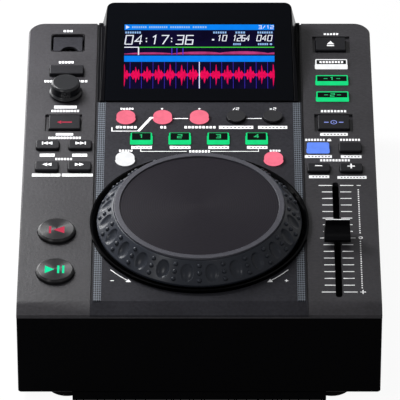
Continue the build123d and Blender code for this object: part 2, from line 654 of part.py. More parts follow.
def make_rear_plate():
    """Connector plate, with a hole for each socket and for the power switch."""
    plate = rearward(prism(Rectangle(PORT_REBATE[0] - 0.2, PORT_REBATE[1] - 0.2), -1.0, 0), 0)
    for x in PHONO_X:
        plate -= rearward(square_hole(PHONO_SIDE, PHONO_SIDE, 0.1), x)
    plate -= rearward(square_hole(*USB_B_SIDES, 0.2), USB_B_X)
    plate -= rearward(square_hole(*ROCKER_FRAME, 0.2), ROCKER_X)
    return plate - rearward(square_hole(*INLET_SIDES, 0.2), INLET_X)


PHONO_SIDE = 12.0


def make_phono_jack(x):
    jack = block(PHONO_SIDE, PHONO_SIDE, -13.0, 0.6) + cylinder(PHONO_RADIUS, 0, JACK_REACH)
    return rearward(jack - prism(RegularPolygon(1.7, 12), -2, JACK_REACH + 1), x)


def make_usb_b_port():
    port = block(*USB_B_SIDES, -16.0, 0) - block(8.6, 7.8, -9.0, 2)
    tongue = block(5.6, 3.2, -10.0, -1.5)
    return rearward(port + tongue, USB_B_X)


def make_dc_inlet():
    inlet = block(*INLET_SIDES, -14.0, 0.4) - prism(RegularPolygon(3.0, 12), -9.5, 2)
    pin = prism(RegularPolygon(1.0, 6), -10, -0.5)
    return rearward(inlet + pin, INLET_X)


def make_power_switch_frame():
    width, depth = ROCKER_FRAME
    frame = block(width + 2.5, depth + 2.5, 0, 1.4) + block(width, depth, -14.0, 0.5)
    return rearward(frame - block(width - 1.6, depth - 2.4, -10.5, 3), ROCKER_X)


ROCKER_TILT = 8.0           # each way from level
ROCKER_AXIS = -3.0          # its pivot, behind the rear face


def make_power_rocker():
    """Rocker with two slopes that meet over its pivot, drawn with one end pressed in."""
    half, end, middle = 8.9, 2.6, 1.2
    outline = Polyline((-half, 0, -3.6), (-half, 0, end), (0, 0, middle), (half, 0, end), (half, 0, -3.6),
                       (0, 0, -5.4), close=True)
    rocker = extrude(make_face(outline), amount=6.0, dir=(0, 1, 0), both=True)
    rocker = Rotation(0, ROCKER_TILT, 0) * Pos(0, 0, -ROCKER_AXIS - 1.6) * rocker
    return rearward(Pos(0, 0, ROCKER_AXIS) * rocker, ROCKER_X)


def make_foot(x, y):
    return Pos(x, y, 0) * cylinder(FOOT_RADIUS, 0, FOOT_HEIGHT)


def make_case_screw(x, y):
    head = prism(RegularPolygon(SCREW_WELL_RADIUS - 0.3, 12), SCREW_SEAT - 2, SCREW_SEAT)
    shank = prism(RegularPolygon(1.45, 6), SCREW_SEAT - 0.5, POST_SPLIT_Z + 9)
    return Pos(x, y, 0) * (head + shank)


def make_circuit_boards():
    """Main board, the three switch boards, and the board with the wheel's light gate."""
    low = BOARD_TOP - BOARD_PLATE
    main = block(176, 210, MAIN_BOARD_Z, MAIN_BOARD_Z + BOARD_PLATE)
    left = on_panel(Pos(-84.5, 125.0, 0) * block(39, 232, low, BOARD_TOP))
    right = on_panel(Pos(86.0, 190.0, 0) * block(38, 132, low, BOARD_TOP))
    centre = on_panel(Pos(0, 159.0, 0) * block(112, 60, low, BOARD_TOP))
    centre -= on_panel(cylinder(WELL_RADIUS + 4.4, -30, 0), s=JOG_S)
    gate = block(12, 8, -9.6, -4.0) - Pos(-2.0, 0, 0) * block(12, 10, -7.2, -5.0)
    return [main, left, right, centre, on_panel(gate, 29.5, JOG_S)]


# ---------------------------------------------------------------- everything is built and written
def main():
    os.makedirs("parts", exist_ok=True)
    save("bottom_case", make_bottom_case())
    save("top_housing", make_top_housing())
    save("centre_deck", make_centre_deck())
    save("accent_strips", *make_accent_strips())
    save("display_housing", make_display_housing())
    save("display_glass", make_display_glass())
    save("display_module", make_display_module())

    save("jog_collar", make_jog_collar())
    save("jog_base", make_jog_base())
    save("jog_bearing", make_jog_bearing())
    save("jog_ring", make_jog_ring())
    save("jog_rim", make_jog_rim())
    save("jog_touch_plate", make_jog_touch_plate())
    save("jog_spindle", make_jog_spindle())

    tacts = []
    side_low = -LID_PLATE - 0.15 - FLANGE_PLATE
    centre_low = -DECK_PLATE - 0.15 - FLANGE_PLATE
    for name, (x, s, width, depth, height, corner) in SIDE_BUTTONS.items():
        save(name, on_panel(make_key(width, depth, height, corner, LID_PLATE), x, s))
        tacts.append(on_panel(make_tact_switch(BUTTON_TRAVEL, side_low), x, s))
    for name, (x, s, width, depth, height, corner) in CENTRE_BUTTONS.items():
        save(name, on_panel(make_key(width, depth, height, corner, DECK_PLATE), x, s))
        tacts.append(on_panel(make_tact_switch(BUTTON_TRAVEL, centre_low), x, s))
    for name, (x, s) in ROUND_BUTTONS.items():
        save(name, on_panel(make_round_key(ROUND_RADIUS, ROUND_HEIGHT, DECK_PLATE), x, s))
        tacts.append(on_panel(make_tact_switch(BUTTON_TRAVEL, centre_low), x, s))
    for name, (x, s) in DOME_BUTTONS.items():
        save(name, on_panel(make_dome_key(), x, s))
        tacts.append(on_panel(make_tact_switch(DOME_TRAVEL, -LID_PLATE - 0.15 - 1.0), x, s))
    save("tact_switches", *tacts)
    save("circuit_boards", *make_circuit_boards())

    save("fader_cap", make_fader_cap())
    save("fader_stem", make_fader_stem())
    save("fader_body", make_fader_body())
    save("browse_knob", make_browse_knob())
    save("encoder_shaft", make_encoder_shaft())
    save("encoder_plunger", make_encoder_plunger())
    save("encoder_body", make_encoder_body())
    save("usb_door", make_usb_door())
    save("usb_well", make_usb_well())
    save("usb_host_port", make_usb_host_port())

    save("rear_plate", make_rear_plate())
    save("rear_sockets", *[make_phono_jack(x) for x in PHONO_X], make_usb_b_port(), make_dc_inlet())
    save("power_switch_frame", make_power_switch_frame())
    save("power_rocker", make_power_rocker())
    save("feet", *[make_foot(x, y) for x in (-FOOT_X, FOOT_X) for y in FOOT_ROWS])
    save("case_screws", *[make_case_screw(x, y) for x in (-POST_X, POST_X) for y in POST_ROWS])


main()
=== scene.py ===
"""Looks for the tabletop media player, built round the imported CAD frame.

World frame: metres, as in the CAD. Panel frame: millimetres, x to the right, y up the sloping
control panel from its front edge, z out of it. Window frame: the same on the tilted display, from
its front edge.
"""

import math
import random

import bmesh
import bpy
from mathutils import Matrix, Vector


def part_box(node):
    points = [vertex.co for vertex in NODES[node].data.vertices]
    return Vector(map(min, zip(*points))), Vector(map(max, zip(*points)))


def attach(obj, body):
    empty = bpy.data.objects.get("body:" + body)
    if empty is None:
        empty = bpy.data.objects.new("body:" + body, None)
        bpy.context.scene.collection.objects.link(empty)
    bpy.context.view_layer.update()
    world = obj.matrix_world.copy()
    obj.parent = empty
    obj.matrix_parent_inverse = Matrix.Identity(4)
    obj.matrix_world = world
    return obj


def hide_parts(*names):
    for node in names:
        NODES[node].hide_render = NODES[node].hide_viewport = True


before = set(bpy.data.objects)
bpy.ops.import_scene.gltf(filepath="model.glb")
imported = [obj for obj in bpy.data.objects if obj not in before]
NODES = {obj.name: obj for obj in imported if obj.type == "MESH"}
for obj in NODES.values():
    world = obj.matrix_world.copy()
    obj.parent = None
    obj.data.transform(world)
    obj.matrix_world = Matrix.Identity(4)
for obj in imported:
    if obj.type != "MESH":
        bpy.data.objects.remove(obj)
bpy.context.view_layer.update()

# ---------------------------------------------------------------- frames and driving sizes, millimetres
MM = 0.001
SLOPE = math.radians(4.0)
BEVEL_RUN = 9.5
PANEL_FRONT_Z = 67.5
DISPLAY_S = 195.5
DISPLAY_LIFT = 1.0
DISPLAY_TILT = math.radians(11.0)
JOG_S = 72.8
PRINT_HEIGHT = 0.03          # a printed mark stands this far off its surface
PRINT_DEPTH = 0.05           # and reaches this far into it
HINGE_PIN = 2.2              # the flap's pins stand this far past its sides

FRONT_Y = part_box("top_housing")[0].y
PANEL_PLACE = (Matrix.Translation((0, FRONT_Y + BEVEL_RUN * MM, PANEL_FRONT_Z * MM))
               @ Matrix.Rotation(SLOPE, 4, "X"))
PANEL = PANEL_PLACE @ Matrix.Scale(MM, 4)
WINDOW = (PANEL @ Matrix.Translation((0, DISPLAY_S, DISPLAY_LIFT))
          @ Matrix.Rotation(DISPLAY_TILT, 4, "X"))


def flat_box(node):
    """Lowest and highest corner of a CAD node in the panel frame, in millimetres."""
    turn = PANEL.inverted()
    points = [turn @ v.co for v in NODES[node].data.vertices]
    return (Vector([min(p[i] for p in points) for i in range(3)]),
            Vector([max(p[i] for p in points) for i in range(3)]))


def cap(name):
    """Middle of a key's cap as x and y, and its highest corner, in the panel frame."""
    low, high = flat_box(f"{name}_button")
    return (low.x + high.x) / 2, (low.y + high.y) / 2, high


def add_object(name, mesh, material, body):
    """Put a new piece in the scene, riding on a body."""
    mesh.materials.append(material)
    piece = bpy.data.objects.new(name, mesh)
    bpy.context.scene.collection.objects.link(piece)
    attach(piece, body)
    return piece


# ---------------------------------------------------------------- materials
def srgb(*levels):
    """Scene-linear colour from 0 to 255 screen levels."""
    return tuple((v / 255 / 12.92) if v <= 10 else ((v / 255 + 0.055) / 1.055) ** 2.4
                 for v in levels) + (1.0,)


class Look:
    """A Principled material with shortcuts for procedural detail."""

    def __init__(self, name, **sockets):
        self.material = bpy.data.materials.new(name)
        self.material.use_nodes = True
        self.tree = self.material.node_tree
        self.shader = self.tree.nodes["Principled BSDF"]
        for socket, value in sockets.items():
            self.shader.inputs[socket.replace("_", " ")].default_value = value
        self.place = self.node("ShaderNodeTexCoord").outputs["Object"]

    def node(self, kind, inputs=None, **settings):
        """New shader node: inputs take a value or another node's output."""
        made = self.tree.nodes.new(kind)
        for key, value in settings.items():
            setattr(made, key, value)
        for socket, value in (inputs or {}).items():
            if isinstance(value, bpy.types.NodeSocket):
                self.tree.links.new(value, made.inputs[socket])
            else:
                made.inputs[socket].default_value = value
        return made

    def to(self, socket, value):
        """Feed one input of the Principled shader."""
        self.tree.links.new(value, self.shader.inputs[socket])

    def in_frame(self, flat):
        """Texture place measured in millimetres of a flat frame."""
        shift, turned, size = flat.inverted().decompose()
        return self.node(
            "ShaderNodeMapping",
            {"Vector": self.place, "Location": shift, "Rotation": turned.to_euler(), "Scale": size},
        ).outputs[0]

    def noise(self, feature, detail, place=None, stretch=None):
        """Noise with features of a given size in metres (or in the units of place)."""
        place = place or self.place
        if stretch:
            place = self.node("ShaderNodeMapping", {"Vector": place, "Scale": stretch}).outputs[0]
        inputs = {"Vector": place, "Scale": 1 / feature, "Detail": detail}
        return self.node("ShaderNodeTexNoise", inputs).outputs["Fac"]

    def ramp(self, factor, first, last):
        """Colour ramp between two (position, colour) stops."""
        made = self.node("ShaderNodeValToRGB", {"Fac": factor})
        elements = made.color_ramp.elements
        elements[0].position, elements[0].color = first
        elements[1].position, elements[1].color = last
        return made.outputs["Color"]

    def vary(self, socket, factor, colour, swing, low, high):
        """Colour that swings by a share to both sides as a factor goes from low to high."""
        darker, lighter = dim(colour, 1 - swing), dim(colour, 1 + swing)
        self.to(socket, self.ramp(factor, (low, darker), (high, lighter)))

    def span(self, factor, low, high):
        """A factor from 0 to 1 laid over a range of values."""
        made = self.node("ShaderNodeMapRange", {"Value": factor, "To Min": low, "To Max": high})
        return made.outputs["Result"]

    def blend(self, a, b, share):
        """Mix of two factors, with the given share of the second."""
        return self.node("ShaderNodeMix", {"Factor": share, "A": a, "B": b}).outputs["Result"]

    def bump(self, height, depth, below=None):
        """Surface relief of a depth in metres, over another relief if there is one."""
        inputs = {"Height": height, "Distance": depth}
        if below:
            inputs["Normal"] = below
        return self.node("ShaderNodeBump", inputs).outputs["Normal"]


SPECKLE = 0.5                # share of the fine grain in the colour of a plastic or a turned face
DRIFT = 0.03                 # m, how far apart a plastic's slow changes of colour lie
ROUGH_SWING = 0.05           # how far the roughness drifts to both sides
UNLIT = (0.0006, 0.0006, 0.0006, 1)   # under a lit surface, which shows almost no other light


def dim(colour, share):
    """A colour made darker or lighter by a share."""
    return tuple(c * share for c in colour[:3]) + (1.0,)


def plastic(name, colour, rough, gloss, grain=0.0005, depth=0.00002, cloud=0.1):
    """Moulded plastic: fine grain in the surface, slow drift in its colour and its sheen."""
    look = Look(name, Specular_IOR_Level=gloss)
    slow = look.noise(DRIFT, 3.0)
    fine = look.noise(grain, 1.0)
    look.vary("Base Color", look.blend(slow, fine, SPECKLE), colour, cloud, 0.35, 0.65)
    look.to("Roughness", look.span(slow, rough - ROUGH_SWING, rough + ROUGH_SWING))
    look.to("Normal", look.bump(fine, depth))
    return look.material


DRAWN = 0.004                # m, along the drawn lines
DRAWN_FINER = 30             # and this many times finer along z
DRAWN_DEPTH = 0.00001        # m


def metal(name, colour, rough=0.3):
    """Plain metal with drawn lines along one axis."""
    look = Look(name, Metallic=1.0)
    drawn = look.noise(DRAWN, 3.0, stretch=(1, 1, DRAWN_FINER))
    look.vary("Base Color", drawn, colour, 0.12, 0.3, 0.7)
    look.to("Roughness", look.span(drawn, rough - 0.06, rough + 0.08))
    look.to("Normal", look.bump(drawn, DRAWN_DEPTH))
    return look.material


def glow(name, colour, cloud=0.06, grain=0.004):
    """Lit plastic: a little brighter in some places than in others."""
    look = Look(name, Base_Color=UNLIT, Roughness=0.5, Specular_IOR_Level=0.0, Emission_Strength=1.0)
    look.vary("Emission Color", look.noise(grain, 2.0), colour, cloud, 0.3, 0.7)
    return look.material


INK_PATCH = 0.0012           # m


def ink(name, colour):
    """Screen-printed ink, a little uneven."""
    look = Look(name, Specular_IOR_Level=0.2)
    patchy = look.noise(INK_PATCH, 2.0)
    look.to("Base Color", look.ramp(patchy, (0.35, dim(colour, 0.9)), (0.65, colour)))
    look.to("Roughness", look.span(patchy, 0.45, 0.6))
    return look.material


WEAVE_PITCH = 0.92           # mm, one square of the checker across the panel
WEAVE_STRETCH = 0.62
WEAVE_DRIFT = 12.0           # mm
WEAVE_DEPTH = 0.00003        # m


def woven(name, light, dark):
    """Fine diagonal checker of the accent strips."""
    look = Look(name, Specular_IOR_Level=0.15, Roughness=0.35)
    place = look.in_frame(PANEL)
    # half a square up, so that the strips' tops lie inside one layer of the checker
    turned = look.node(
        "ShaderNodeMapping",
        {"Vector": place, "Location": (0, 0, WEAVE_PITCH / 2), "Rotation": (0, 0, math.radians(45)),
         "Scale": (1, WEAVE_STRETCH, 1)},
    ).outputs[0]
    checks = look.node(
        "ShaderNodeTexChecker",
        {"Vector": turned, "Scale": 1 / WEAVE_PITCH, "Color1": light, "Color2": dark},
    )
    slow = look.span(look.noise(WEAVE_DRIFT, 2.0, place), 0.0, 0.25)
    tone = look.node("ShaderNodeMix", {"Factor": slow, 6: checks.outputs["Color"], 7: dark},
                     data_type="RGBA")
    look.to("Base Color", tone.outputs[2])
    look.to("Normal", look.bump(checks.outputs["Fac"], WEAVE_DEPTH))
    return look.material


WAVE_TURN = 20               # Blender's wave texture runs through this many radians in a unit
GRIT, FINE_GRIT = 0.0018, 0.0008   # m, grain in the colour and in the surface of a turned face
FINE_GRIT_DEPTH, RING_DEPTH = 0.00002, 0.000006   # m


def spun(name, colour, rough, metallic, gloss, streak, pitch=0.35, centre=(0, JOG_S)):
    """Turned face: fine rings about a point of the panel, with the streaks of light they give.

    Light and dark rings are each a pitch wide, in mm.
    """
    look = Look(name, Metallic=metallic, Specular_IOR_Level=gloss, Anisotropic=streak,
                Anisotropic_Rotation=0.25)
    round_axis = look.node("ShaderNodeTangent", direction_type="RADIAL", axis="Z")
    look.to("Tangent", round_axis.outputs["Tangent"])
    local = look.node(
        "ShaderNodeMapping",
        {"Vector": look.in_frame(PANEL), "Location": (-centre[0], -centre[1], 0)},
    ).outputs[0]
    rings = look.node(
        "ShaderNodeTexWave",
        {"Vector": local, "Scale": math.pi / pitch / WAVE_TURN, "Distortion": 1.5, "Detail": 2.0,
         "Detail Scale": 0.2},
        wave_type="RINGS", rings_direction="Z",
    ).outputs["Fac"]
    look.vary("Base Color", look.blend(rings, look.noise(GRIT, 1.0), SPECKLE), colour, 0.2, 0.3, 0.7)
    look.to("Roughness", look.span(rings, rough - ROUGH_SWING, rough + ROUGH_SWING))
    relief = look.bump(rings, RING_DEPTH)
    look.to("Normal", look.bump(look.noise(FINE_GRIT, 1.0), FINE_GRIT_DEPTH, below=relief))
    return look.material


COARSE = {"grain": 0.0018, "depth": 0.0001, "cloud": 0.22}   # the lid's and the centre deck's grain
PANEL_GREY = plastic("panel_grey", srgb(39, 38, 41), rough=0.42, gloss=0.14, **COARSE)
DECK_GREY = plastic("deck_grey", srgb(36, 36, 40), rough=0.45, gloss=0.04, **COARSE)
CASE_BLACK = plastic("case_black", srgb(4, 4, 5), rough=0.55, gloss=0.01, grain=0.0009, depth=0.00004)
GLOSS_BLACK = plastic("gloss_black", srgb(7, 7, 9), rough=0.12, gloss=0.02, depth=0.000002)
COLLAR_BLACK = plastic("collar_black", srgb(3, 3, 4), rough=0.16, gloss=0.02, depth=0.000002)
GLASS_BLACK = plastic("display_glass", srgb(4, 5, 8), rough=0.06, gloss=0.02, depth=0.0000005)
KEY_BLACK = plastic("key_black", srgb(21, 21, 24), rough=0.4, gloss=0.07, depth=0.00001)
ROUND_DARK = plastic("round_key_dark", srgb(20, 20, 23), rough=0.22, gloss=0.2, depth=0.000005)
KNOB_BLACK = plastic("knob_black", srgb(14, 15, 18), rough=0.25, gloss=0.16, depth=0.000005)
FADER_BLACK = plastic("fader_black", srgb(6, 6, 8), rough=0.3, gloss=0.03, depth=0.00001)
INNER_BLACK = plastic("inner_black", srgb(10, 10, 10), rough=0.6, gloss=0.02)
RUBBER = plastic("rubber_black", srgb(18, 18, 18), rough=0.8, gloss=0.03, grain=0.0015, depth=0.00008)
BOARD_GREEN = plastic("board_green", srgb(22, 82, 52), rough=0.3, gloss=0.5)
STRIP = woven("strip_silver", srgb(92, 98, 107), srgb(14, 17, 22))
JOG_BLACK = plastic("jog_black", srgb(38, 41, 48), rough=0.3, gloss=0.1, grain=0.0007, depth=0.00001)
RIM_GREY = spun("jog_rim_grey", srgb(64, 64, 70), rough=0.35, metallic=0.1, gloss=0.1, streak=0.4)
DISC_DARK = spun("jog_disc", srgb(26, 24, 29), rough=0.45, metallic=0.0, gloss=0.04, pitch=0.7,
                 streak=0.3)
STEEL = metal("steel", srgb(190, 190, 188))
SOCKET = metal("socket_metal", srgb(200, 198, 192), rough=0.2)
PRINT_WHITE = ink("print_white", srgb(236, 236, 238))
LIT_PINK = glow("lit_pink", srgb(252, 122, 146))
LIT_GREEN = glow("lit_green", srgb(28, 225, 132))
LIT_BLUE = glow("lit_blue", srgb(107, 147, 254))
LIT_WHITE = glow("lit_white", srgb(252, 253, 255))
LIT_RED = glow("lit_red", srgb(205, 62, 88))
LIT_PLAY = glow("lit_play", srgb(23, 242, 171))
LIT_NUMBER = glow("lit_number", srgb(48, 200, 122))
LIT_JOG_MODE = glow("lit_jog_mode", srgb(150, 165, 245))
WINDOW_BLACK = plastic("key_window", srgb(3, 7, 6), rough=0.3, gloss=0.02, depth=0.000002)

LOOKS = {
    "bottom_case": CASE_BLACK, "top_housing": PANEL_GREY, "centre_deck": DECK_GREY,
    "accent_strips": STRIP, "feet": RUBBER, "case_screws": STEEL,
    "display_housing": GLOSS_BLACK, "display_glass": GLASS_BLACK, "display_module": INNER_BLACK,
    "jog_collar": COLLAR_BLACK, "jog_base": INNER_BLACK, "jog_bearing": INNER_BLACK,
    "jog_ring": JOG_BLACK, "jog_rim": RIM_GREY, "jog_touch_plate": DISC_DARK, "jog_spindle": STEEL,
    "circuit_boards": BOARD_GREEN, "tact_switches": INNER_BLACK,
    "fader_body": INNER_BLACK, "fader_cap": FADER_BLACK, "fader_stem": INNER_BLACK,
    "browse_knob": KNOB_BLACK, "encoder_shaft": STEEL, "encoder_plunger": INNER_BLACK,
    "encoder_body": INNER_BLACK,
    "usb_door": DECK_GREY, "usb_well": INNER_BLACK, "usb_host_port": STEEL,
    "rear_plate": CASE_BLACK, "rear_sockets": SOCKET,
    "power_switch_frame": INNER_BLACK, "power_rocker": INNER_BLACK,
    "loop_auto_button": LIT_PINK, "loop_in_button": LIT_PINK, "loop_out_button": LIT_PINK,
    "slip_button": LIT_PINK, "loop_half_button": ROUND_DARK, "loop_double_button": ROUND_DARK,
    "shift_button": LIT_WHITE, "settings_button": LIT_WHITE, "key_lock_button": LIT_BLUE,
    "source_1_button": LIT_GREEN, "source_2_button": LIT_GREEN,
}
HOT_CUES = [f"hot_cue_{i + 1}" for i in range(4)]
for name in HOT_CUES:
    LOOKS[f"{name}_button"] = LIT_GREEN
for name in ("cue", "play"):
    LOOKS[f"{name}_button"] = spun(f"{name}_dome", srgb(11, 10, 13), rough=0.4, pitch=0.3, metallic=0.1,
                                   gloss=0.2, streak=0.9, centre=cap(name)[:2])

EDGES = {                    # rounding of visible edges, mm
    "top_housing": 0.3, "bottom_case": 0.4, "display_housing": 0.3, "centre_deck": 0.2,
    "browse_knob": 0.35, "fader_cap": 0.3, "jog_rim": 0.25, "usb_door": 0.2, "power_rocker": 0.3,
    "power_switch_frame": 0.3, "feet": 0.5,
}
BUTTON_EDGE = 0.15           # mm
WELD = 0.000004              # m, corners closer than this become one
FLAT_ANGLE = math.radians(0.6)   # faces that meet at less are joined
EDGE_ANGLE = math.radians(28)    # edges sharper than this are rounded


def smooth_group():
    """Geometry nodes that shade every face smooth, ready for weighted normals."""
    group = bpy.data.node_groups.new("shade_smooth", "GeometryNodeTree")
    group.interface.new_socket("Geometry", in_out="INPUT", socket_type="NodeSocketGeometry")
    group.interface.new_socket("Geometry", in_out="OUTPUT", socket_type="NodeSocketGeometry")
    start = group.nodes.new("NodeGroupInput")
    smooth = group.nodes.new("GeometryNodeSetShadeSmooth")
    end = group.nodes.new("NodeGroupOutput")
    group.links.new(start.outputs[0], smooth.inputs["Geometry"])
    group.links.new(smooth.outputs[0], end.inputs[0])
    return group


SMOOTH = smooth_group()


def round_edges(piece, width):
    """Small real roundings on a CAD node's edges, by modifiers alone."""
    weld = piece.modifiers.new("weld", "WELD")
    weld.merge_threshold = WELD
    flat = piece.modifiers.new("join_flats", "DECIMATE")
    flat.decimate_type = "DISSOLVE"
    flat.angle_limit = FLAT_ANGLE
    bevel = piece.modifiers.new("round", "BEVEL")
    bevel.width = width * MM
    bevel.segments = 2
    bevel.limit_method = "ANGLE"
    bevel.angle_limit = EDGE_ANGLE
    smooth = piece.modifiers.new("smooth", "NODES")
    smooth.node_group = SMOOTH
    piece.modifiers.new("normals", "WEIGHTED_NORMAL")


for name, node in NODES.items():
    node.data.materials.clear()
    node.data.materials.append(LOOKS.get(name, KEY_BLACK))
    if name in EDGES:
        round_edges(node, EDGES[name])
    elif name.endswith("_button"):
        round_edges(node, BUTTON_EDGE)


# ---------------------------------------------------------------- printed and lit marks
STROKES = {                  # on a cell 4 wide and 6 high
    "0": [[(0, 0), (4, 0), (4, 6), (0, 6), (0, 0)]],
    "1": [[(0.8, 4.8), (2.2, 6), (2.2, 0)]],
    "2": [[(0, 6), (4, 6), (4, 3.2), (0, 2.6), (0, 0), (4, 0)]],
    "3": [[(0, 6), (4, 6), (4, 0), (0, 0)], [(0.8, 3), (4, 3)]],
    "4": [[(3, 0), (3, 6), (0, 2), (4, 2)]],
    "6": [[(4, 6), (0, 6), (0, 0), (4, 0), (4, 3), (0, 3)]],
    "7": [[(0, 6), (4, 6), (1.4, 0)]],
    "/": [[(0.4, 0), (3.6, 6)]],
    "x": [[(0.4, 1), (3.6, 4.6)], [(0.4, 4.6), (3.6, 1)]],
    "+": [[(0, 3), (4, 3)], [(2, 1), (2, 5)]],
    "-": [[(0, 3), (4, 3)]],
    ":": [[(1.6, 1.6), (2.4, 1.6)], [(1.6, 4.4), (2.4, 4.4)]],
}
CELL_PITCH, CELL_SPACE = 5.6, 1.6   # from one numeral to the next, and the gap between them

LETTER_PITCH = 0.85          # blocks in the place of words: one every so many times their height
LETTER_GAP = 0.3             # and this share of that pitch left open
PLATE_EDGE = 0.35            # white edge over and under the slots of a label plate, share of its height
PLATE_END = 1.2              # mm of white left and right of them
PLATE_WHITE = 0.45           # white share between the slots
MITRE = 0.4                  # limit on a line's mitred corners, as the cosine of half the turn


class Marks:
    """Flat shapes gathered into one thin mesh, in millimetres of a flat frame."""

    def __init__(self, level=0.0):
        self.mesh = bmesh.new()
        self.low = level - PRINT_DEPTH
        self.high = level + PRINT_HEIGHT

    def shape(self, points):
        """Flat plate with any outline."""
        low = [self.mesh.verts.new((x, y, self.low)) for x, y in points]
        high = [self.mesh.verts.new((x, y, self.high)) for x, y in points]
        self.mesh.faces.new(high)
        self.mesh.faces.new(low[::-1])
        for i in range(len(points)):
            j = (i + 1) % len(points)
            self.mesh.faces.new((low[i], low[j], high[j], high[i]))

    def band(self, left, right, closed=False):
        """A strip between two rows of points."""
        rows = []
        for (x0, y0), (x1, y1) in zip(left, right):
            corners = ((x0, y0, self.low), (x1, y1, self.low), (x1, y1, self.high), (x0, y0, self.high))
            rows.append([self.mesh.verts.new(c) for c in corners])
        last = len(rows) if closed else len(rows) - 1
        for i in range(last):
            a, b = rows[i], rows[(i + 1) % len(rows)]
            for k in range(4):
                m = (k + 1) % 4
                self.mesh.faces.new((a[k], a[m], b[m], b[k]))
        if not closed:
            self.mesh.faces.new(rows[0][::-1])
            self.mesh.faces.new(rows[-1])

    def bar(self, x0, x1, y0, y1):
        """Rectangle with its sides along x and y."""
        self.shape([(x0, y0), (x1, y0), (x1, y1), (x0, y1)])

    def words(self, x0, x1, y0, y1):
        """Row of plain blocks in the place of printed words: no letter is drawn."""
        count = round((x1 - x0) / (LETTER_PITCH * (y1 - y0)))
        step = (x1 - x0) / (count - LETTER_GAP)
        for i in range(count):
            self.bar(x0 + i * step, x0 + (i + 1 - LETTER_GAP) * step, y0, y1)

    def plate(self, x0, x1, y0, y1):
        """White label plate with a row of plain slots left in it where its words would be."""
        low, high = y0 + PLATE_EDGE * (y1 - y0), y1 - PLATE_EDGE * (y1 - y0)
        count = round((x1 - x0) / (LETTER_PITCH * (y1 - y0)))
        step = (x1 - x0 - 2 * PLATE_END) / count
        self.bar(x0, x1, y0, low)
        self.bar(x0, x1, high, y1)
        self.bar(x0, x0 + PLATE_END, low, high)
        self.bar(x1 - PLATE_END, x1, low, high)
        for i in range(count):
            start = x0 + PLATE_END + i * step
            self.bar(start, start + PLATE_WHITE * step, low, high)

    def line(self, points, width):
        """A line of even width with mitred corners."""
        left, right = [], []
        count = len(points)
        for i, (x, y) in enumerate(points):
            before = Vector(points[i]) - Vector(points[i - 1]) if i else None
            after = Vector(points[i + 1]) - Vector(points[i]) if i < count - 1 else None
            a = (before or after).normalized()
            b = (after or before).normalized()
            side = (Vector((-a.y, a.x)) + Vector((-b.y, b.x))).normalized()
            reach = width / 2 / max(side.dot(Vector((-a.y, a.x))), MITRE)
            left.append((x + side.x * reach, y + side.y * reach))
            right.append((x - side.x * reach, y - side.y * reach))
        self.band(left, right)

    def arc(self, x, y, radius, width, start, end, steps=20):
        """Part of a ring, from one angle to another in degrees."""
        turns = [math.radians(start + (end - start) * i / steps) for i in range(steps + 1)]
        inner, outer = radius - width / 2, radius + width / 2
        whole = abs(end - start) >= 360
        if whole:
            turns = turns[:-1]
        self.band([(x + outer * math.cos(a), y + outer * math.sin(a)) for a in turns],
                  [(x + inner * math.cos(a), y + inner * math.sin(a)) for a in turns], whole)

    def disc(self, x, y, radius, corners=20):
        """Filled circle."""
        turns = [math.tau * i / corners for i in range(corners)]
        self.shape([(x + radius * math.cos(a), y + radius * math.sin(a)) for a in turns])

    def arrow(self, x, y, length, width):
        """Solid triangle that points to +x, or to -x where length is negative; x, y is its middle."""
        back = x - length / 2
        self.shape([(back, y - width / 2), (x + length / 2, y), (back, y + width / 2)])

    def number(self, text, x, y, height, weight, lean=0.0, aspect=1.0):
        """Numerals drawn with plain strokes, centred on x, y."""
        cell = height / 6
        step = CELL_PITCH * cell * aspect
        left = x - (len(text) * step - CELL_SPACE * cell * aspect) / 2
        for i, sign in enumerate(text):
            for stroke in STROKES[sign]:
                self.line([(left + i * step + (px * aspect + py * lean) * cell, y + (py - 3) * cell)
                           for px, py in stroke], weight * height)

    def build(self, name, material, body, flat=PANEL):
        """Close the mesh and put it in its flat frame as a piece."""
        bmesh.ops.recalc_face_normals(self.mesh, faces=self.mesh.faces)
        mesh = bpy.data.meshes.new(name)
        self.mesh.to_mesh(mesh)
        self.mesh.free()
        mesh.transform(flat)
        add_object(name, mesh, material, body)


CORNER_STEPS = 4


def rounded(x0, x1, y0, y1, radius):
    """Outline of a rectangle with rounded corners."""
    points = []
    for cx, cy, first in ((x1 - radius, y1 - radius, 0), (x0 + radius, y1 - radius, 90),
                          (x0 + radius, y0 + radius, 180), (x1 - radius, y0 + radius, 270)):
        for i in range(CORNER_STEPS + 1):
            turn = math.radians(first + 90 * i / CORNER_STEPS)
            points.append((cx + radius * math.cos(turn), cy + radius * math.sin(turn)))
    return points


def sign_lock(marks, x, y):
    """Plain padlock."""
    marks.bar(x - 1.2, x + 1.2, y - 1.3, y + 0.2)
    marks.arc(x, y + 0.2, 0.8, 0.4, 0, 180, 10)


def double_arrow(marks, x, y, way, size, stop):
    """Two triangles one after the other, pointing to the side of way, with a bar at the tip or not."""
    for i in (-1, 0):
        marks.arrow(x + way * (i + 0.5) * size * 0.95, y, way * size, size * 1.05)
    if stop:
        middle = x + way * size * 1.1
        marks.bar(middle - 0.35, middle + 0.35, y - size * 0.52, y + size * 0.52)


GAP_SHADE_INNER, GAP_SHADE_OUTER = 0.92, 1.5   # edges of the dark band painted round the flap as the shade of its slit, mm off its sides
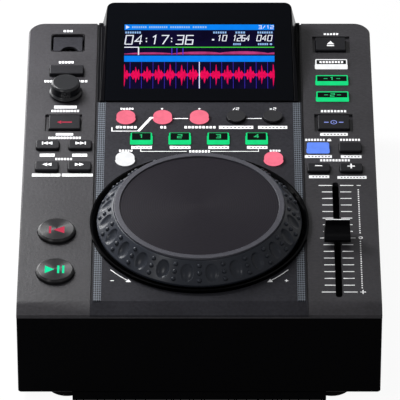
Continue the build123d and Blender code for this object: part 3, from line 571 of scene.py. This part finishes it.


def left_marks():
    """Print of the left deck, and painted shade: a dark line round the flap that deepens the shadow of
    the slit about it.
    """
    marks = Marks()
    marks.words(-86.4, -80.6, 269.5, 271.5)
    marks.words(-88.6, -79.4, 236.0, 238.2)
    marks.words(-97.3, -90.6, 216.0, 218.2)
    marks.words(-76.4, -70.4, 216.0, 218.2)
    marks.plate(-90.6, -76.5, 188.9, 191.7)
    marks.words(-92.2, -75.0, 185.2, 187.3)
    marks.plate(-88.9, -78.2, 161.2, 163.4)
    marks.words(-93.4, -73.4, 157.6, 159.8)
    for x in (-93.7, -73.7):
        marks.plate(x - 4.6, x + 4.6, 139.7, 142.6)
    marks.words(-88.6, -78.4, 136.2, 138.3)
    marks.plate(-102.6, -85.2, 119.8, 122.6)
    marks.plate(-84.2, -65.3, 119.8, 122.6)
    marks.build("left_deck_print", PRINT_WHITE, "chassis")
    # painted shade: a near-black band on the panel round the flap, standing in for the shadow inside
    # the slit about it
    gap_shade = Marks()
    low, high = flat_box("usb_door")
    inner, outer = [rounded(low.x + HINGE_PIN - off, high.x - HINGE_PIN + off, low.y - off,
                            high.y + off, off) for off in (GAP_SHADE_INNER, GAP_SHADE_OUTER)]
    gap_shade.band(outer, inner, True)
    gap_shade.build("usb_door_painted_gap_shade", CASE_BLACK, "chassis")


def right_marks():
    """Print of the right deck above the fader's scale."""
    marks = Marks()
    marks.words(79.2, 88.4, 266.2, 268.2)
    marks.words(75.8, 91.6, 184.9, 187.1)
    marks.plate(74.9, 92.0, 160.8, 163.7)
    marks.words(65.6, 77.6, 155.6, 157.7)
    sign_lock(marks, 80.4, 156.6)
    marks.words(87.0, 99.4, 155.6, 157.7)
    marks.plate(65.0, 81.7, 138.4, 141.2)
    marks.plate(87.2, 99.9, 138.2, 141.0)
    marks.words(74.4, 92.6, 134.9, 137.1)
    marks.plate(67.2, 79.6, 118.1, 120.9)
    marks.plate(84.6, 102.4, 117.5, 120.2)
    marks.build("right_deck_print", PRINT_WHITE, "chassis")


FADER_TICKS = 17
TICK_FIRST, TICK_LAST = 8.0, 110.9
TICK_HALF = 0.34
FADER_REST = 59.6            # the ring that marks the rest point
DOTS = 46
DOT_FIRST, DOT_STEP, DOT_HALF = 12.0, 2.1, 0.5
DOT_CLEAR = 3                # no dots this near the ring


def fader_scale():
    """Scale lines on both sides of the slot, and the dotted line between its plus and minus signs."""
    marks = Marks()
    middle = FADER_TICKS // 2
    for i in range(FADER_TICKS):
        y = TICK_FIRST + (TICK_LAST - TICK_FIRST) * i / (FADER_TICKS - 1)
        wide = i in (0, middle, FADER_TICKS - 1)
        marks.bar(72.9 if wide else 74.8, 81.2, y - TICK_HALF, y + TICK_HALF)
        marks.bar(86.0, 94.2 if wide else 92.7, y - TICK_HALF, y + TICK_HALF)
    marks.arc(97.3, FADER_REST, 1.0, 0.5, 0, 360)
    marks.number("+", 97.4, TICK_FIRST, 5.0, 0.13)
    marks.number("-", 97.4, TICK_LAST, 3.6, 0.18)
    for i in range(DOTS):
        y = DOT_FIRST + DOT_STEP * i
        if abs(y - FADER_REST) > DOT_CLEAR:
            marks.bar(96.65, 97.45, y - DOT_HALF, y + DOT_HALF)
    marks.build("fader_scale_print", PRINT_WHITE, "chassis")


HOT_CUE_STEP = 23.8          # from one hot cue's label plate to the next


def centre_marks():
    """Print of the centre deck round the wheel and between the key rows."""
    marks = Marks()
    marks.words(-49.1, -41.1, 187.5, 189.4)
    marks.disc(-23.2, 188.5, 0.7)
    marks.disc(0.0, 188.5, 0.7)
    marks.number("/2", 22.7, 188.4, 2.4, 0.17)
    marks.number("x2", 45.8, 188.4, 2.4, 0.17)
    # lines that lead from a label up to the loop keys
    marks.line([(-54.2, 169.4), (-54.2, 165.6), (-37.6, 165.6)], 0.6)
    marks.shape([(-38.9, 165.3), (-36.9, 165.3), (-29.4, 178.6), (-27.4, 179.0), (-27.4, 180.0),
                 (-30.7, 180.0)])
    marks.words(-51.7, -38.9, 168.3, 170.7)
    marks.words(-24.2, -20.6, 168.3, 170.7)
    marks.words(-9.2, 10.1, 168.3, 170.7)
    marks.bar(-16.4, -7.0, 178.1, 178.8)
    marks.bar(29.1, 38.8, 178.1, 178.8)
    marks.plate(12.2, 33.5, 167.9, 170.9)
    marks.plate(36.5, 54.6, 167.9, 170.9)
    for i in range(4):
        x = HOT_CUE_STEP * (i - 1.5)
        marks.plate(x - 6.3, x + 6.4, 147.5, 150.4)
    marks.line([(-36.1, 147.2), (-36.1, 145.0), (-7.8, 145.0)], 0.5)
    marks.line([(7.4, 145.0), (36.5, 145.0), (36.5, 147.2)], 0.5)
    marks.words(-6.2, 6.6, 143.8, 146.1)
    marks.words(-49.5, -41.3, 144.7, 146.6)
    marks.words(43.4, 50.0, 144.7, 146.6)
    # curved arrows for the ways the wheel turns
    points = [(-53.2, 29.1), (-50.6, 26.2), (-48.1, 23.6), (-45.2, 20.9), (-42.6, 18.8)]
    for side in (-1, 1):
        marks.line([(-side * x, y) for x, y in points][:: -side], 0.6)
        marks.shape([(side * 40.6, 17.3), (side * 43.9, 17.5), (side * 42.3, 20.3)][::side])
        marks.number("-" if side < 0 else "+", side * 52.0, 18.7, 3.2, 0.17)
    marks.build("centre_deck_print", PRINT_WHITE, "chassis")


def key_marks():
    """Signs on the key caps: each rides on its own key."""
    def on_key(name):
        x, y, high = cap(name)
        return Marks(high.z), x, y

    def finish(marks, name, material):
        marks.build(f"{name}_sign", material, f"{name}_key")

    for name, way, stop in (("track_back", -1, True), ("track_forward", 1, True),
                            ("search_back", -1, False), ("search_forward", 1, False)):
        marks, x, y = on_key(name)
        double_arrow(marks, x, y + 0.7, way, 2.9, stop)
        finish(marks, name, PRINT_WHITE)
    marks, x, y = on_key("eject")
    marks.shape([(x - 2.3, y - 0.9), (x + 2.3, y - 0.9), (x, y + 2.7)])
    marks.bar(x - 2.3, x + 2.3, y - 2.9, y - 1.75)
    finish(marks, "eject", PRINT_WHITE)
    marks, x, y = on_key("bend_minus")
    marks.bar(x - 2.2, x + 2.2, y + 0.6, y + 1.5)
    finish(marks, "bend_minus", PRINT_WHITE)
    marks, x, y = on_key("bend_plus")
    marks.bar(x - 2.3, x + 2.3, y + 0.2, y + 1.1)
    marks.bar(x - 0.45, x + 0.45, y - 1.7, y + 0.2)
    marks.bar(x - 0.45, x + 0.45, y + 1.1, y + 3.0)
    finish(marks, "bend_plus", PRINT_WHITE)
    marks, x, y = on_key("reverse")
    marks.arrow(x - 3.4, y - 0.6, -2.6, 3.2)
    marks.bar(x - 1.9, x + 4.6, y - 1.1, y - 0.1)
    finish(marks, "reverse", LIT_RED)
    marks, x, y = on_key("jog_mode")
    marks.arc(x, y - 0.7, 1.8, 0.45, 0, 360)
    marks.disc(x, y - 0.7, 0.4, 10)
    for side in (-1, 1):
        marks.bar(*sorted((x + side * 3.2, x + side * 6.0)), y - 1.1, y - 0.3)
    finish(marks, "jog_mode", LIT_JOG_MODE)

    marks, x, y = on_key("cue")
    marks.arrow(x + 1.4, y - 1.0, -6.6, 6.6)
    marks.bar(x - 4.6, x - 3.3, y - 4.3, y + 2.3)
    finish(marks, "cue", LIT_RED)
    marks, x, y = on_key("play")
    marks.arrow(x - 3.4, y - 0.4, 5.6, 7.2)
    marks.bar(x + 1.2, x + 2.45, y - 4.0, y + 3.2)
    marks.bar(x + 4.2, x + 5.45, y - 4.0, y + 3.2)
    finish(marks, "play", LIT_PLAY)


def key_windows():
    """Dark windows on the lit caps, with a plain number or blocks for words in each."""
    for name in HOT_CUES:
        x, _, high = cap(name)
        pane = Marks(high.z)
        pane.shape(rounded(x - 5.8, x + 5.8, high.y - 8.8, high.y - 1.7, 0.4))
        pane.build(f"{name}_window", WINDOW_BLACK, f"{name}_key")
        digit = Marks(high.z + PRINT_HEIGHT)
        digit.number(name[-1], x, high.y - 5.0, 3.4, 0.2, aspect=1.15)
        digit.build(f"{name}_number", LIT_NUMBER, f"{name}_key")
    for name, below in (("settings", 1.5), ("source_1", 2.5), ("source_2", 2.5)):
        x, y, high = cap(name)
        pane = Marks(high.z)
        pane.shape(rounded(x - 9.3, x + 9.3, y - below, y + 2.8, 0.3))
        pane.build(f"{name}_window", WINDOW_BLACK, f"{name}_key")
        sign = Marks(high.z + PRINT_HEIGHT)
        if name == "settings":
            sign.words(x - 7.4, x + 7.4, y - 0.4, y + 1.7)
        else:
            sign.number(name[-1], x, y + 0.15, 3.0, 0.22, aspect=1.2)
            for side in (-1, 1):
                sign.bar(*sorted((x + side * 2.8, x + side * 5.2)), y - 0.15, y + 0.45)
        sign.build(f"{name}_sign", PRINT_WHITE if name == "settings" else LIT_NUMBER, f"{name}_key")


# ---------------------------------------------------------------- the display's picture
SCREEN_LEFT, SCREEN_RIGHT = -47.3, 47.3
SCREEN_LOW, SCREEN_HIGH = 10.2, 64.9
HEADER_LOW = 60.2
BAND_LOW, BAND_HIGH = 33.0, 38.1
PROGRESS_LOW, PROGRESS_HIGH = 45.0, 45.7
WAVE_MIDDLE = 21.9
WAVE_LOW, WAVE_HIGH = 10.3, 32.8
BEAT_FIRST, BEAT_STEP, BEATS = -43.5, 7.2, 13
PEAK_STEP = 1.9              # between the peaks of one swelling of the wave
WAVE_COLUMNS, OVERVIEW_COLUMNS = 300, 120
OVERVIEW_BASE = 39.3
ON_SCREEN = PRINT_HEIGHT     # bands and waves lie on the screen's ground,
OVER_THOSE = 2 * PRINT_HEIGHT   # and lines and figures over them

UI_BLUE = glow("screen_blue", srgb(8, 130, 243))
UI_NAVY = glow("screen_navy", srgb(12, 8, 40), cloud=0.3, grain=0.01)
UI_WAVE = glow("screen_wave", srgb(231, 10, 84), cloud=0.15, grain=0.002)
UI_HUMP = glow("screen_overview", srgb(180, 60, 120), cloud=0.2)
UI_WHITE = glow("screen_white", srgb(240, 244, 255))
UI_PALE = glow("screen_pale", srgb(150, 190, 240))
UI_GREEN = glow("screen_green", srgb(70, 200, 60))
UI_VIOLET = glow("screen_violet", srgb(70, 50, 200))


def spindles(x):
    """Half height of the sound wave: one swelling of three peaks between each two beat lines."""
    half = BEAT_STEP / 2
    off = (x - BEAT_FIRST) % BEAT_STEP - half
    peaks = 0.72 + 0.42 * math.cos(math.tau * off / PEAK_STEP)
    return 0.9 + 6.6 * (1 - abs(off) / half) ** 1.3 * peaks


def overview_height(x):
    """Height of the whole song's small wave over its base."""
    swell = 1.6 * abs(math.sin((x - SCREEN_LEFT) / 9.6)) ** 0.5
    return 0.3 + max(0.3, 0.2 + swell + 0.5 * math.sin((x + 10) / 21))


def across_screen(columns):
    """Places of a row of columns, from the screen's left edge to its right."""
    return [SCREEN_LEFT + (SCREEN_RIGHT - SCREEN_LEFT) * i / columns for i in range(columns + 1)]


def screen_picture():
    """Generic player picture: header, clock, readings, overview and sound wave, and no words."""
    back = Marks()
    back.bar(SCREEN_LEFT, SCREEN_RIGHT, SCREEN_LOW, SCREEN_HIGH)
    back.build("screen_back", UI_NAVY, "chassis", WINDOW)

    blue = Marks(ON_SCREEN)
    blue.bar(SCREEN_LEFT, SCREEN_RIGHT, HEADER_LOW, SCREEN_HIGH)
    blue.bar(SCREEN_LEFT, SCREEN_RIGHT, BAND_LOW, BAND_HIGH)
    blue.build("screen_bands", UI_BLUE, "chassis", WINDOW)

    wave = Marks(ON_SCREEN)
    spread = random.Random(5)
    upper, lower = [], []
    for x in across_screen(WAVE_COLUMNS):
        height = spindles(x) * spread.uniform(0.75, 1.3)
        upper.append((x, WAVE_MIDDLE + height))
        lower.append((x, WAVE_MIDDLE - height * spread.uniform(0.85, 1.1)))
    wave.band(upper, lower)
    wave.build("screen_wave", UI_WAVE, "chassis", WINDOW)

    hump = Marks(ON_SCREEN)
    columns = across_screen(OVERVIEW_COLUMNS)
    hump.band([(x, OVERVIEW_BASE + overview_height(x)) for x in columns],
              [(x, OVERVIEW_BASE) for x in columns])
    hump.build("screen_overview", UI_HUMP, "chassis", WINDOW)

    grid = Marks(OVER_THOSE)
    for i in range(BEATS):
        x = BEAT_FIRST + BEAT_STEP * i
        grid.bar(x - 0.12, x + 0.12, WAVE_LOW, WAVE_HIGH)
    for x in (-17.3, -14.1, -10.3):
        grid.bar(x - 0.3, x + 0.3, 38.8, 44.6)
    grid.build("screen_grid", UI_VIOLET, "chassis", WINDOW)

    green = Marks(OVER_THOSE)
    green.bar(-37.8, SCREEN_RIGHT, PROGRESS_LOW, PROGRESS_HIGH)
    green.build("screen_progress", UI_GREEN, "chassis", WINDOW)

    white = Marks(OVER_THOSE)
    white.bar(SCREEN_LEFT, -38.2, PROGRESS_LOW, PROGRESS_HIGH)
    white.bar(-38.7, -37.9, 38.8, 45.3)
    white.bar(-0.3, 0.3, 10.4, WAVE_HIGH)
    for text, x in (("04", -41.7), ("17", -25.5), ("36", -9.7)):
        white.number(text, x, 51.7, 7.5, 0.095, lean=0.12, aspect=0.88)
    for x in (-33.4, -17.5):
        white.number(":", x, 51.6, 5.6, 0.18)
    white.bar(8.0, 9.4, 51.2, 52.4)
    for text, x, aspect in (("10", 14.0, 0.72), ("1264", 26.2, 0.62), ("040", 40.8, 0.76)):
        white.number(text, x, 53.2, 4.8, 0.115, lean=0.15, aspect=aspect)
    white.arrow(-45.2, 62.6, 2.4, 3.0)
    white.number("3/12", 42.2, 62.6, 2.7, 0.14)
    white.build("screen_figures", UI_WHITE, "chassis", WINDOW)

    pale = Marks(OVER_THOSE)
    for x0, x1 in ((-46.8, -37.0), (8.8, 17.1), (22.9, 28.9), (36.8, 46.3)):
        pale.words(x0, x1, 57.2, 58.8)
    for x0, x1 in ((21.4, 26.2), (37.0, 43.4)):
        pale.words(x0, x1, 47.2, 48.8)
    for x0, x1 in ((-42.6, -33.4), (-31.8, -20.2), (-18.4, -6.0), (-4.2, 4.6)):
        pale.words(x0, x1, 61.8, 63.4)
    pale.disc(45.2, 48.0, 0.8)
    pale.build("screen_captions", UI_PALE, "chassis", WINDOW)


# ---------------------------------------------------------------- jog wheel's grip and small parts
GRIP_COUNT = 24
WHEEL_RADIUS, GRIP_TOP_RADIUS = 62.0, 52.2
GRIP_FOOT, GRIP_LOW, GRIP_HIGH = 0.8, 2.4, 13.6
RIM_SEAT = 12.4
RIM_OUTER = 51.5
GRIP_BORE = 4.0
SKIRT_INNER, WEB_UNDER = 53.0, 10.4
DIMPLE_LENGTH, DIMPLE_WIDTH, DIMPLE_DEPTH = 10.8, 7.6, 1.5
BUMP_RADIUS, BUMP_HEIGHT = 1.45, 1.25
BUMP_SINK = 0.15             # a bump's foot lies this far under the cone
BUMP_SIDES, BUMP_ROWS = 16, 5
BUMP_STEPS = (0.2, 0.5, 0.8)
GRIP_COLUMNS = 960
CONE_ROWS = 36
CONE = Vector((GRIP_TOP_RADIUS - WHEEL_RADIUS, GRIP_HIGH - GRIP_LOW))
CONE_LENGTH = CONE.length
CONE_OUT = Vector((CONE.y, -CONE.x)).normalized()


def grip_profile():
    """(radius, height, share up the cone or None) from the wheel's foot to its bore, and back below."""
    rows = [(WHEEL_RADIUS - 0.4, GRIP_FOOT, None), (WHEEL_RADIUS, GRIP_FOOT + 0.4, None)]
    for i in range(CONE_ROWS + 1):
        share = i / CONE_ROWS
        rows.append((WHEEL_RADIUS + CONE.x * share, GRIP_LOW + CONE.y * share, share))
    rest = ((GRIP_TOP_RADIUS - 0.25, GRIP_HIGH + 0.15), (RIM_OUTER + 0.05, GRIP_HIGH + 0.1),
            (RIM_OUTER, RIM_SEAT), (GRIP_BORE, RIM_SEAT), (GRIP_BORE, WEB_UNDER),
            (SKIRT_INNER, WEB_UNDER), (SKIRT_INNER, GRIP_FOOT))
    return rows + [(radius, height, None) for radius, height in rest]


def dimple_depth(turn, share):
    """How far the cone is scooped out at an angle and a share of its height."""
    pitch = math.tau / GRIP_COUNT
    off = (turn / pitch) % 1.0 - 0.5
    radius = WHEEL_RADIUS + CONE.x * share
    across, along = off * pitch * radius, (share - 0.5) * CONE_LENGTH
    reach = (2 * across / DIMPLE_WIDTH) ** 2 + (2 * along / DIMPLE_LENGTH) ** 2
    return DIMPLE_DEPTH * (1 - reach) ** 0.6 if reach < 1 else 0.0


def grip():
    """Smooth grip ring: scooped finger dimples with a row of three bumps between each two."""
    mesh = bmesh.new()
    rings = []
    for radius, height, share in grip_profile():
        ring = []
        for i in range(GRIP_COLUMNS):
            turn = math.tau * i / GRIP_COLUMNS
            r, z = radius, height
            if share is not None:
                depth = dimple_depth(turn, share)
                r, z = r - CONE_OUT.x * depth, z - CONE_OUT.y * depth
            ring.append(mesh.verts.new((r * math.cos(turn), JOG_S + r * math.sin(turn), z)))
        rings.append(ring)
    for a, b in zip(rings, rings[1:] + rings[:1]):
        for i in range(GRIP_COLUMNS):
            j = (i + 1) % GRIP_COLUMNS
            mesh.faces.new((a[i], a[j], b[j], b[i]))
    for i in range(GRIP_COUNT):
        for share in BUMP_STEPS:
            stud(mesh, math.tau * i / GRIP_COUNT, share)
    for face in mesh.faces:
        face.smooth = True
    made = bpy.data.meshes.new("jog_grip")
    mesh.to_mesh(made)
    mesh.free()
    made.transform(PANEL)
    piece = add_object("jog_grip", made, JOG_BLACK, "jog_wheel")
    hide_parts("jog_ring")
    piece.modifiers.new("normals", "WEIGHTED_NORMAL")


def stud(mesh, turn, share):
    """Domed stud on the cone, its foot a little below the surface."""
    foot = Vector((WHEEL_RADIUS + CONE.x * share, GRIP_LOW + CONE.y * share)) - CONE_OUT * BUMP_SINK
    up = CONE.normalized()
    rings = []
    for k in range(BUMP_ROWS):
        lean = math.pi / 2 * k / BUMP_ROWS
        ring = []
        for i in range(BUMP_SIDES):
            angle = math.tau * i / BUMP_SIDES
            along = BUMP_RADIUS * math.cos(lean) * math.cos(angle)
            across = BUMP_RADIUS * math.cos(lean) * math.sin(angle)
            spot = foot + up * along + CONE_OUT * (BUMP_HEIGHT + BUMP_SINK) * math.sin(lean)
            x = spot.x * math.cos(turn) - across * math.sin(turn)
            y = spot.x * math.sin(turn) + across * math.cos(turn)
            ring.append(mesh.verts.new((x, JOG_S + y, spot.y)))
        rings.append(ring)
    spot = foot + CONE_OUT * (BUMP_HEIGHT + BUMP_SINK)
    tip = mesh.verts.new((spot.x * math.cos(turn), JOG_S + spot.x * math.sin(turn), spot.y))
    for a, b in zip(rings, rings[1:]):
        for i in range(BUMP_SIDES):
            j = (i + 1) % BUMP_SIDES
            mesh.faces.new((a[i], b[i], b[j], a[j]))
    for i in range(BUMP_SIDES):
        mesh.faces.new((rings[-1][i], tip, rings[-1][(i + 1) % BUMP_SIDES]))
    mesh.faces.new(rings[0])


def fader_line():
    """White line over the cap's crest."""
    low, high = flat_box("fader_cap")
    middle = (low.y + high.y) / 2
    marks = Marks(high.z)
    marks.bar(low.x + 0.7, high.x - 0.7, middle - 0.32, middle + 0.32)
    marks.build("fader_crest_line", PRINT_WHITE, "pitch_fader")


left_marks()
right_marks()
centre_marks()
fader_scale()
key_marks()
key_windows()
screen_picture()
grip()
fader_line()

# ---------------------------------------------------------------- stage, lamps and camera
FLOOR_HALF = 30.0
FLOOR_SHADE = 0.06           # share of the floor's seen colour that takes the shadow
AMBIENT = 0.17               # strength of the surround as a light
WHITE = (1, 1, 1, 1)
PAPER = (0.8, 0.8, 0.8, 1)   # the floor's own colour
LAMP_TARGET = (0, 130, 0)    # what most lamps are turned to, panel mm


def seen(tree):
    """1 for the rays that see plain white: from the camera, in gloss and through glass."""
    path = tree.nodes.new("ShaderNodeLightPath")
    total = path.outputs["Is Camera Ray"]
    for name in ("Is Glossy Ray", "Is Transmission Ray"):
        both = tree.nodes.new("ShaderNodeMath")
        both.operation = "MAXIMUM"
        tree.links.new(total, both.inputs[0])
        tree.links.new(path.outputs[name], both.inputs[1])
        total = both.outputs[0]
    return total


def white_floor():
    """Floor that looks white and takes a faint shadow."""
    material = bpy.data.materials.new("floor_white")
    material.use_nodes = True
    tree = material.node_tree
    tree.nodes.remove(tree.nodes["Principled BSDF"])
    paper = tree.nodes.new("ShaderNodeBsdfDiffuse")
    paper.inputs["Color"].default_value = PAPER
    light = tree.nodes.new("ShaderNodeEmission")
    share = tree.nodes.new("ShaderNodeMath")
    share.operation = "MULTIPLY"
    tree.links.new(seen(tree), share.inputs[0])
    share.inputs[1].default_value = 1 - FLOOR_SHADE
    mix = tree.nodes.new("ShaderNodeMixShader")
    tree.links.new(share.outputs[0], mix.inputs[0])
    tree.links.new(paper.outputs[0], mix.inputs[1])
    tree.links.new(light.outputs[0], mix.inputs[2])
    tree.links.new(mix.outputs[0], tree.nodes["Material Output"].inputs["Surface"])
    mesh = bpy.data.meshes.new("floor")
    h = FLOOR_HALF
    mesh.from_pydata([(-h, -h, 0), (h, -h, 0), (h, h, 0), (-h, h, 0)], [], [(0, 1, 2, 3)])
    mesh.materials.append(material)
    floor = bpy.data.objects.new("floor", mesh)
    bpy.context.scene.collection.objects.link(floor)


def surround():
    """World that looks white and lights the object softly."""
    world = bpy.data.worlds.new("surround")
    bpy.context.scene.world = world
    world.use_nodes = True
    tree = world.node_tree
    dark = tree.nodes["Background"]
    dark.inputs["Color"].default_value = WHITE
    dark.inputs["Strength"].default_value = AMBIENT
    white = tree.nodes.new("ShaderNodeBackground")
    white.inputs["Color"].default_value = WHITE
    mix = tree.nodes.new("ShaderNodeMixShader")
    tree.links.new(seen(tree), mix.inputs[0])
    tree.links.new(dark.outputs[0], mix.inputs[1])
    tree.links.new(white.outputs[0], mix.inputs[2])
    tree.links.new(mix.outputs[0], tree.nodes["World Output"].inputs["Surface"])


def area_lamp(name, spot, size, power, target=LAMP_TARGET):
    """Square lamp at a point in panel mm, with its side in metres and its power in watts."""
    lamp = bpy.data.lights.new(name, "AREA")
    lamp.shape = "SQUARE"
    lamp.size = size
    lamp.energy = power
    holder = bpy.data.objects.new(name, lamp)
    bpy.context.scene.collection.objects.link(holder)
    start, end = PANEL @ Vector(spot), PANEL @ Vector(target)
    turned = (end - start).to_track_quat("-Z", "Y").to_matrix().to_4x4()
    holder.matrix_world = Matrix.Translation(start) @ turned


CAMERA_TARGET = 96.5         # panel mm from the front edge
CAMERA_LEAN = math.radians(51.8)
CAMERA_AWAY = 2.976          # m
SENSOR, LENS = 36.0, 439.8   # mm
SHIFT_X = 0.00175
SIGHT_END = 200.0            # m


def camera():
    """Camera fitted to the photograph's view of the panel."""
    data = bpy.data.cameras.new("camera")
    data.sensor_width = SENSOR
    data.lens = LENS
    data.shift_x = SHIFT_X
    data.clip_end = SIGHT_END
    holder = bpy.data.objects.new("camera", data)
    bpy.context.scene.collection.objects.link(holder)
    holder.matrix_world = (PANEL_PLACE @ Matrix.Translation((0, CAMERA_TARGET * MM, 0))
                           @ Matrix.Rotation(CAMERA_LEAN, 4, "X")
                           @ Matrix.Translation((0, 0, CAMERA_AWAY)))
    bpy.context.scene.camera = holder


white_floor()
surround()
area_lamp("key", (-300, 350, 330), 0.12, 2.2)
area_lamp("sheen", (-255, 360, 230), 0.3, 2.8)
area_lamp("low_side", (-330, 500, 60), 0.2, 1.2, (0, 80, 0))
area_lamp("fill_left", (-405, -284, 499), 0.12, 1.4)
area_lamp("fill_right", (159, -319, 511), 0.1, 0.25)
camera()
bpy.context.scene.view_settings.view_transform = "Standard"
